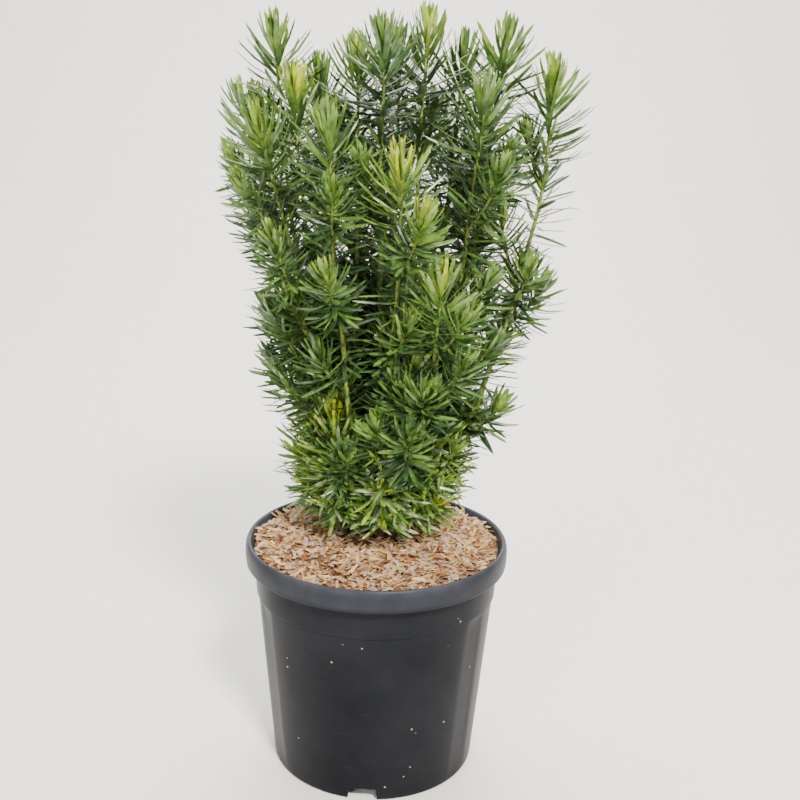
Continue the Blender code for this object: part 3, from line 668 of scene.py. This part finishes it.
# Side twigs: fan in radians either way, angle from the stem in degrees
twigShape = dict(
    # shares of the length: out at the angle, on beside the stem, further out, and at random
    leave=0.45, beside=0.55, outwards=0.15, stray=0.05, bend=0.5, samples=14, tip=0.0010,
)
innerTwigs = dict(
    count=4, place=(-0.08, 0.40), lowest=0.03, length=(0.045, 0.075), fan=1.7,
    angle=(38, 56), bare=0.008, radius=0.0018, fresh=0.25,
)
outerTwigs = dict(
    place=(0.1, 0.7), topmost=0.80, length=(0.055, 0.095), fan=1.5,
    angle=(34, 50), bare=0.010, radius=0.0019, fresh=(0.25, 0.75),
)
extraTwigs = dict(angle=(40, 40), bare=0.010, radius=0.0020, fresh=0.5)
lowTwigs = dict(
    count=5, fan=math.radians(36.0), stray=0.3, step=0.016, jitter=0.012,
    length=(0.028, 0.047), angle=(60, 80), bare=0.006, radius=0.0018, fresh=(0.1, 0.9),
)


class Route:
    # A sampled line, measured along its length

    def __init__(self, points):
        self.points = np.array(points, float)
        steps = np.linalg.norm(np.diff(self.points, axis=0), axis=1)
        self.marks = np.concatenate([[0.0], np.cumsum(steps)])
        self.length = float(self.marks[-1])

    def at(self, distance):
        return np.array([np.interp(distance, self.marks, self.points[:, k]) for k in range(3)])

    def direction(self, distance, reach=0.004):
        ahead = self.at(min(distance + reach, self.length))
        behind = self.at(max(distance - reach, 0.0))
        return (ahead - behind) / np.linalg.norm(ahead - behind)

    def atHeight(self, height):
        return float(np.interp(height, self.points[:, 2], self.marks))


def bentLine(start, control, end, samples):
    ts = np.linspace(0.0, 1.0, samples + 1)[:, None]
    return (1 - ts) ** 2 * start + 2 * ts * (1 - ts) * control + ts * ts * end


def shootRoute(foot, tip, bow, waver, draw):
    # Straight up out of the mulch, then outwards and upright, wavering a little on the way
    foot = np.array(foot)
    tip = np.array(tip)
    rise = foot + np.array([0.0, 0.0, plan["footRise"]])
    control = rise + (tip - rise) * np.array([bow, bow, plan["bowHeight"]])
    line = bentLine(rise, control, tip, plan["samples"])
    phase = [draw.uniform(0.0, turn) for _ in range(4)]
    for index, point in enumerate(line):
        share = index / plan["samples"]
        fade = waver * math.sin(math.pi * share)
        for axis, (slow, quick) in enumerate(plan["waves"]):
            wave = math.sin(slow * share + phase[2 * axis])
            ripple = plan["quickShare"] * math.sin(quick * share + phase[2 * axis + 1])
            point[axis] += fade * (wave + ripple)
    return Route(np.vstack([foot[None, :], line]))


def tallFoot(tip):
    flat = np.array([tip[0], tip[1], 0.0])
    radius = np.linalg.norm(flat)
    back = plan["footBack"]
    if radius * plan["footSpread"] < 0.5 * plan["footClear"]:
        return flat / radius * plan["forkRadius"] + np.array([0.0, back, plan["mixTop"] + plan["forkRise"]])
    reach = max(radius * plan["footSpread"], plan["footClear"]) * plan["footDraw"]
    return flat / radius * reach + np.array([0.0, back, plan["mixTop"] - plan["footSink"]])


def squared(direction, azimuth):
    # The level direction at this azimuth, turned square to the stem
    level = np.array([math.cos(azimuth), math.sin(azimuth), 0.0])
    level = level - direction * level.dot(direction)
    return level / np.linalg.norm(level)


def sideTwig(parent, origin, azimuth, length, form, draw):
    # Leaves its stem at an angle and curves up beside it; with its bare part and radii
    narrowest, widest = form["angle"]
    angle = math.radians(draw.uniform(narrowest, widest) if widest > narrowest else widest)
    root = parent.at(origin)
    direction = parent.direction(origin)
    side = squared(direction, azimuth)
    leave = direction * math.cos(angle) + side * math.sin(angle)
    shape = twigShape
    end = root + length * (leave * shape["leave"] + direction * shape["beside"])
    end += side * length * shape["outwards"]
    end += np.array([draw.uniform(-1, 1), draw.uniform(-1, 1), 0.0]) * shape["stray"] * length
    line = bentLine(root, root + shape["bend"] * length * leave, end, shape["samples"])
    return Route(line), form["bare"], form["radius"], shape["tip"]


def planTall(draw, name, tip, bow, twigCount, fresh):
    route = shootRoute(tallFoot(tip), tip, bow, plan["waver"], draw)
    start = route.atHeight(plan["needlesFrom"] + plan["startSpread"] * draw.uniform(-1.0, 1.0))
    stems = [(route, start, plan["footRadius"], plan["tipRadius"], fresh, "tall")]
    outwards = math.atan2(tip[1], tip[0])
    grown = route.length - start
    form = innerTwigs
    for _ in range(form["count"]):
        # Short inner twigs fill the clump's dark heart below the tops
        origin = max(form["lowest"], start + grown * draw.uniform(*form["place"]))
        length = draw.uniform(*form["length"])
        inwards = outwards + math.pi + draw.uniform(-form["fan"], form["fan"])
        stems.append((*sideTwig(route, origin, inwards, length, form, draw), form["fresh"], "twig"))
    form = outerTwigs
    for number in range(twigCount):
        share = (number + draw.uniform(*form["place"])) / twigCount * form["topmost"]
        azimuth = outwards + draw.uniform(-form["fan"], form["fan"])
        length = draw.uniform(*form["length"])
        green = fresh * (form["fresh"][0] + form["fresh"][1] * share)
        stems.append((*sideTwig(route, start + grown * share, azimuth, length, form, draw), green, "twig"))
    form = extraTwigs
    for height, degrees, length in plan["extraTwigs"].get(name, ()):
        twig = sideTwig(route, route.atHeight(height), math.radians(degrees), length, form, draw)
        stems.append((*twig, form["fresh"], "twig"))
    return stems


def planLow(draw, azimuth):
    outwards = np.array([math.cos(azimuth), math.sin(azimuth), 0.0])
    back = lowShoots["back"]
    foot = outwards * lowShoots["foot"] + np.array([0.0, back, plan["mixTop"] - plan["footSink"]])
    height = lowShoots["tipHeight"] + lowShoots["tipSpread"] * draw.uniform(-1.0, 1.0)
    tip = outwards * lowShoots["tipReach"] + np.array([0.0, lowShoots["tipBack"] * back, height])
    route = shootRoute(foot, tip, lowShoots["bow"], lowShoots["waver"], draw)
    stems = [(route, route.atHeight(lowShoots["needlesFrom"]), lowShoots["footRadius"],
              lowShoots["tipRadius"], draw.uniform(*lowShoots["fresh"]), "low")]
    form = lowTwigs
    for number in range(form["count"]):
        # They fan out with drooping whorls; neighbours start at unlike heights
        side = azimuth + (number - form["count"] // 2) * form["fan"]
        side += draw.uniform(-form["stray"], form["stray"])
        level = form["step"] * (number * 3 % form["count"])
        origin = route.atHeight(lowShoots["twigsFrom"] + level + draw.uniform(0.0, form["jitter"]))
        length = draw.uniform(*form["length"])
        twig = sideTwig(route, origin, side, length, form, draw)
        stems.append((*twig, draw.uniform(*form["fresh"]), "lowTwig"))
    return stems


def planPlant():
    # Every stem as (route, where needles begin, foot radius, tip radius, freshness, kind)
    stems = []
    for index, shoot in enumerate(plan["tall"]):
        stems += planTall(random.Random(plan["seed"] + index), *shoot)
    for index in range(lowShoots["count"]):
        azimuth = lowShoots["azimuth"] + turn * index / lowShoots["count"]
        stems += planLow(random.Random(lowShoots["seed"] + index), azimuth)
    return stems


# Stems: wood below, green skin among the needles
tube = dict(
    # sides, and length of a segment
    wood=(12, 0.0045), shoot=(8, 0.006), twig=(6, 0.007), crown=(20, 0.005), leastRings=3,
    # every other ring swells like a leaf scar
    ridge=0.10, hollow=-0.03, rough=0.09, flareLength=0.010, flareShare=0.45,
    # wood goes on this far past the first needles, and the green skin starts just inside it
    woodPast=0.035, overlap=0.003, taperShare=1.25, greenShare=0.93,
    crownHeights=(-0.008, 0.020, 0.046), crownLean=(0.0, 0.001, 0.0),
    crownRadius=(0.019, 0.0155), crownFlare=0.010, seed=77,
    # name, dark, light, roughness, fineness
    bark=("bark, ridged and weathered", "#1d1610", "#54412c", 0.72, 420.0),
    skin=("young bark, green and smooth", "#4f6a28", "#8f9c40", 0.72, 300.0),
)


def addTube(mesh, route, start, stop, radii, make, draw, flare=0.0):
    # One tapering stem with leaf-scar ridges, closed at both ends
    vertices, faces = mesh
    sides, step = make
    rings = max(tube["leastRings"], int((stop - start) / step))
    base = len(vertices)
    across = np.array([1.0, 0.0, 0.0])
    for ring in range(rings + 1):
        share = ring / rings
        distance = start + (stop - start) * share
        centre = route.at(distance)
        direction = route.direction(distance)
        across = across - direction * across.dot(direction)
        across = across / np.linalg.norm(across)
        other = np.cross(direction, across)
        radius = radii[0] + (radii[1] - radii[0]) * share
        radius += flare * math.exp(-distance / tube["flareLength"])
        radius *= 1.0 + (tube["ridge"] if ring % 2 else tube["hollow"])
        for side in range(sides):
            angle = turn * side / sides
            reach = radius * (1.0 + tube["rough"] * draw.uniform(-1.0, 1.0))
            vertices.append(centre + reach * (across * math.cos(angle) + other * math.sin(angle)))
    for ring in range(rings):
        faces += ringFaces(base + ring * sides, sides, True)
    faces.append(tuple(base + side for side in reversed(range(sides))))
    top = base + rings * sides
    faces.append(tuple(top + side for side in range(sides)))


def makeStems(stems):
    # Each kind joined into one piece
    wood = ([], [])
    green = ([], [])
    draw = random.Random(tube["seed"])
    for route, start, foot, tip, _, kind in stems:
        if kind in ("tall", "low"):
            woodEnd = start + tube["woodPast"]
            taper = min(1.0, woodEnd / route.length * tube["taperShare"])
            joint = foot + (tip - foot) * taper
            flare = foot * tube["flareShare"]
            addTube(wood, route, 0.0, woodEnd, (foot, joint), tube["wood"], draw, flare)
            skin = (joint * tube["greenShare"], tip)
            addTube(green, route, woodEnd - tube["overlap"], route.length, skin, tube["shoot"], draw)
        else:
            addTube(green, route, 0.0, route.length, (foot, tip), tube["twig"], draw)
    levels = zip(tube["crownLean"], tube["crownHeights"])
    crown = Route([(lean, plan["footBack"], plan["mixTop"] + height) for lean, height in levels])
    addTube(wood, crown, 0.0, crown.length, tube["crownRadius"], tube["crown"], draw, tube["crownFlare"])
    boughs = meshPiece("woodyBoughs", *wood, [organic(ridged, *tube["bark"])])
    settle(boughs, boughNodes)
    shoots = meshPiece("greenStems", *green, [organic(ridged, *tube["skin"])])
    settle(shoots, needleNodes)
    print("stems made:", len(wood[1]) + len(green[1]), "faces")


stemPlan = planPlant()
makeStems(stemPlan)


# Needles: one closed keeled blade, repeated along every stem and dealt out into six greens
needle = dict(
    length=0.045, width=0.0041, keel=0.0008, sink=0.0006, tipMargin=0.0006,
    # the blade's sections: place along it, and share of the width
    sections=((0.05, 0.45), (0.17, 0.98), (0.55, 1.06), (0.88, 0.80)),
    # stem between one needle and the next, and the extra needles of a shoot's end bud
    spacing=0.0015, topSpacing=0.0010, topExtra=6,
    # a year's growth, and the bare stem between two years
    flush=0.086, flushGap=0.013, golden=math.radians(137.5), stray=0.22, twist=0.42, seed=4000,
    mixClear=0.013,
    # needles may pass the solids' box by this share of its side, and are shortened beyond it
    roomLimit=0.026, shorten=0.86, widthRange=(0.82, 1.15), lengthRange=(0.86, 1.08),
    # shares of the length: over a flush, least and rise, and where on a half wave they are read
    hump=(0.74, 0.34), humpPlace=(0.80, 0.14),
    # shares of the length on twigs, in the top flush, and in the flushes below it
    twigShare=0.84, topShare=1.17, lowerShare=(0.80, 0.16), budFrom=0.70, budTaper=0.75,
    curl=(-0.16, 0.18), topCurl=(0.16, 0.36), tipCurl=1.04,
    # sine of the least angle to the stem, and how often a needle is shortened at most
    leastSine=0.05, shortenings=4,
)

# How far needles stand off their stem: widest and narrowest angle in degrees, from the bottom
# of a flush to its top, and the power of the change; sag is how far they hang
opening = dict(
    top=(82.0, 15.0, 1.90), lowTwigTop=(98.0, 15.0, 1.90), lower=(98.0, 38.0, 0.9),
    jitter=9.0, least=7.0,
    sag=0.10, sagMore=0.12, lowSagMore=0.34, sagRange=(0.3, 1.2), budSag=0.25, budFrom=0.5,
)

# Which green a needle takes: the sum of these is how much painted light it gets
shade = dict(
    # painted shade inside, less light higher up and a painted shadow on the lower flushes; painted light
    # outside, along each flush and on the low whorls
    inside=0.30, outside=0.22, outsideReach=0.12, fall=0.04, fallRange=(0.36, 0.78),
    share=0.16, shadow=0.05, jitter=0.24, low=0.13,
    # the top flush: painted light outside, with fresh growth towards the tips
    top=0.35, topOutside=0.12, topFresh=0.74, topJitter=0.14,
    # chance that a needle of the low whorls shows its underside, and more below their middle
    pale=(0.08, 0.10),
    # fresh tips stand above this light, and past this share of a top flush
    freshLimit=0.94, freshShare={"tall": 0.45, "low": 0.78, "twig": 0.78, "lowTwig": 0.78},
    limits=(0.74, 0.57, 0.41),  # young growth in painted light, painted sunlit and painted half shade lie above these, painted deep shade below
)
greens = [
    # the first five are steps of painted light and shade, with fresh and young growth in the lightest two;
    # the last is the needles' own pale underside
    # name, dark, light, roughness
    ("needle cuticle, fresh tip", "#7a8c04", "#b6c40e", 0.45),
    ("needle cuticle, young", "#557820", "#8ca63a", 0.36),
    ("needle cuticle, bright", "#3f6424", "#749442", 0.32),
    ("needle cuticle, grown", "#2b4820", "#56753c", 0.29),
    ("needle cuticle, deep", "#192c19", "#3a5733", 0.29),
    ("needle cuticle, pale underside", "#6d8256", "#9fb286", 0.44),
]
paleGreen = 5


def bladeVertices(root, along, across, length, width, curl):
    # Root point, keeled sections and a pointed tip; curl bends it up, or down where negative
    above = np.cross(along, across)
    points = [root - along * needle["sink"]]
    for share, wide in needle["sections"]:
        middle = root + along * (length * share) + above * (curl * length * share * share)
        half = 0.5 * width * wide
        points.append(middle - across * half)
        points.append(middle + above * (needle["keel"] * wide))
        points.append(middle + across * half)
    points.append(root + along * length + above * (curl * length * needle["tipCurl"]))
    return points


def bladeFaces():
    faces = [(0, 2, 1), (0, 3, 2), (0, 1, 3)]
    gaps = len(needle["sections"]) - 1
    for section in range(gaps):
        faces += ringFaces(1 + 3 * section, 3, True)
    last = 1 + 3 * gaps
    tip = last + 3
    faces += [(last, last + 1, tip), (last + 1, last + 2, tip), (last + 2, last, tip)]
    return faces


def insideRoom(point):
    # Whether a tip is within the solids' box, a small share of each side beyond it allowed
    for axis in range(3):
        slack = needle["roomLimit"] * (cadHigh[axis] - cadLow[axis])
        if point[axis] < cadLow[axis] - slack or point[axis] > cadHigh[axis] + slack:
            return False
    return True


def greenFor(height, reach, share, topFlush, fresh, kind, draw):
    # Painted light and shade: fresh growth in painted sun at the shoots' tops and outside, painted deep
    # shade inside and low down, pale undersides on the low whorls
    outside = min(1.0, reach / shade["outsideReach"])
    if topFlush:
        light = shade["top"] + shade["topOutside"] * outside + shade["topFresh"] * fresh * share * share
        light += draw.uniform(-shade["topJitter"], shade["topJitter"])
    else:
        bottom, top = shade["fallRange"]
        risen = min(1.0, max(0.0, (height - bottom) / (top - bottom)))
        light = shade["inside"] - shade["fall"] * risen + shade["outside"] * outside
        light += shade["share"] * share - shade["shadow"] + draw.uniform(-shade["jitter"], shade["jitter"])
    if kind in ("low", "lowTwig"):
        # Low whorls get painted sunlight, and some of their needles show the pale underside
        light += shade["low"]
        if draw.random() < shade["pale"][0] + shade["pale"][1] * (share < 0.5):
            return paleGreen
    if topFlush and light > shade["freshLimit"] and share > shade["freshShare"][kind]:
        return 0
    for choice, limit in enumerate(shade["limits"]):
        if light > limit:
            return choice + 1
    return 4


def needleAim(direction, azimuth, share, last, kind, draw):
    # Wide open at the bottom of a flush, close to the stem at its top, sagging a little
    widest, narrowest, power = opening["lower"]
    if last:
        widest, narrowest, power = opening["lowTwigTop" if kind == "lowTwig" else "top"]
    angle = widest + (narrowest - widest) * share ** power
    angle += draw.uniform(-opening["jitter"], opening["jitter"])
    angle = math.radians(max(opening["least"], angle))
    along = direction * math.cos(angle) + squared(direction, azimuth) * math.sin(angle)
    more = opening["lowSagMore"] if kind in ("low", "lowTwig") else opening["sagMore"]
    sag = (opening["sag"] + more * (1.0 - share)) * draw.uniform(*opening["sagRange"])
    if last and share > opening["budFrom"]:
        sag *= opening["budSag"]
    along = along - np.array([0.0, 0.0, sag])
    return along / np.linalg.norm(along)


def needleLength(share, flush, flushes, kind, draw):
    # Longest in the middle of a flush and in the newest growth, short round the bud
    least, rise = needle["hump"]
    reach, start = needle["humpPlace"]
    hump = least + rise * math.sin(math.pi * min(share * reach + start, 1.0))
    length = needle["length"] * hump * draw.uniform(*needle["lengthRange"])
    last = flush == flushes - 1
    if kind in ("twig", "lowTwig"):
        length *= needle["twigShare"]
    elif last:
        length *= needle["topShare"]
    else:
        least, more = needle["lowerShare"]
        length *= least + more * flush / max(1, flushes - 1)
    if last and share > needle["budFrom"]:
        length *= 1.0 - needle["budTaper"] * (share - needle["budFrom"])
    return length


def growNeedles(stems):
    built = [[] for _ in greens]
    skipped = 0
    for number, (route, start, _, _, fresh, kind) in enumerate(stems):
        draw = random.Random(needle["seed"] + number)
        grown = route.length - start
        flushes = max(1, round(grown / needle["flush"]))
        span = grown / flushes
        azimuth = draw.uniform(0.0, turn)
        for flush in range(flushes):
            last = flush == flushes - 1
            usable = span if last else span - needle["flushGap"]
            count = int(usable / (needle["topSpacing"] if last else needle["spacing"]))
            count += needle["topExtra"] if last else 0
            for step in range(count):
                share = (step + 0.5) / count
                distance = min(start + span * flush + usable * share, route.length - needle["tipMargin"])
                direction = route.direction(distance)
                azimuth += needle["golden"] + draw.uniform(-needle["stray"], needle["stray"])
                along = needleAim(direction, azimuth, share, last, kind, draw)
                across = np.cross(direction, along)
                size = np.linalg.norm(across)
                if size < needle["leastSine"]:
                    continue
                across = across / size
                twist = draw.gauss(0.0, needle["twist"])
                across = across * math.cos(twist) + np.cross(along, across) * math.sin(twist)
                length = needleLength(share, flush, flushes, kind, draw)
                curl = draw.uniform(*needle["topCurl" if last and kind != "lowTwig" else "curl"])
                root = route.at(distance)
                bend = along + np.cross(along, across) * curl
                for _ in range(needle["shortenings"]):
                    # A needle that would leave the solids' room is a shorter one
                    if not insideRoom(root + bend * length):
                        length *= needle["shorten"]
                tip = root + bend * length
                if not insideRoom(tip) or tip[2] < plan["mixTop"] + needle["mixClear"]:
                    skipped += 1
                    continue
                reach = math.hypot(root[0], root[1])
                choice = greenFor(tip[2], reach, share, last, fresh, kind, draw)
                width = needle["width"] * draw.uniform(*needle["widthRange"])
                built[choice].append(bladeVertices(root, along, across, length, width, curl))
    makeNeedles(built)
    print("needles skipped:", skipped)


def makeNeedles(built):
    pattern = bladeFaces()
    triangles = sum(len(face) - 2 for face in pattern)
    for index, blades in enumerate(built):
        vertices = np.array(blades).reshape(-1, 3)
        faces = []
        for blade in range(len(blades)):
            base = blade * len(blades[0])
            faces += [tuple(base + corner for corner in face) for face in pattern]
        piece = meshPiece(f"needles{index + 1}", vertices, faces, [organic(cuticle, *greens[index])], False)
        settle(piece, needleNodes)
        print("needles,", greens[index][0], len(blades), "blades,", len(blades) * triangles, "triangles")
    print("needles made:", sum(len(blades) for blades in built))


growNeedles(stemPlan)


# Studio: pale paper that curves up behind, a key light high in front, a wide lamp over the
# backdrop and two weak fills from the sides
studio = dict(
    floorHalf=4.0, backDistance=3.2, curve=1.2, curveSteps=14,
    curveStart=0.1,  # radians
    wallHeight=4.0,
    sink=0.0004,  # the paper lies this far below the pot's foot
    paperColour="#f4f3f0",
    paperRoughness=0.9,
    skyColour="#f4f6fa",
    skyStrength=0.47,
    lamps=[
        # name, place, aim, size, power, colour
        ("keyLight", (0.9, -2.9, 3.4), (0.0, 0.0, 0.5), 0.70, 380.0, "#fff6ea"),
        ("topLight", (0.0, 1.9, 3.2), (0.0, 1.4, 0.0), 2.6, 190.0, "#ffffff"),
        ("leftFill", (-1.3, -2.6, 1.0), (0.0, 0.0, 0.4), 0.8, 40.0, "#fdf8ee"),
        ("rightFill", (1.9, -0.5, 0.9), (0.0, 0.0, 0.6), 0.8, 2.5, "#f6e6d2"),
    ],
)


def makePaper():
    half = studio["floorHalf"]
    back = studio["backDistance"]
    bend = studio["curve"]
    outline = [(-half, 0.0), (back - bend, 0.0)]
    for angle in np.linspace(studio["curveStart"], math.pi / 2, studio["curveSteps"]):
        outline.append((back - bend + bend * math.sin(angle), bend - bend * math.cos(angle)))
    outline.append((back, studio["wallHeight"]))
    vertices = [(side * half, y, z - studio["sink"]) for y, z in outline for side in (-1.0, 1.0)]
    faces = [(2 * i, 2 * i + 1, 2 * i + 3, 2 * i + 2) for i in range(len(outline) - 1)]
    material, _, shader = newMaterial("studio paper, pale and matt")
    shader.inputs["Base Color"].default_value = (*linear(studio["paperColour"]), 1.0)
    shader.inputs["Roughness"].default_value = studio["paperRoughness"]
    meshPiece("studioFloor", vertices, faces, [material])


def makeLights():
    world = bpy.data.worlds.new("studioSky")
    bpy.context.scene.world = world
    world.use_nodes = True
    sky = world.node_tree.nodes["Background"]
    sky.inputs["Color"].default_value = (*linear(studio["skyColour"]), 1.0)
    sky.inputs["Strength"].default_value = studio["skyStrength"]
    for name, place, goal, size, power, colour in studio["lamps"]:
        data = bpy.data.lights.new(name, "AREA")
        data.size = size
        data.energy = power
        data.color = linear(colour)
        lamp = newObject(name, data)
        lamp.location = place
        aim = Vector(goal) - Vector(place)
        lamp.rotation_euler = aim.to_track_quat("-Z", "Y").to_euler()
    print("studio made")


makePaper()
makeLights()
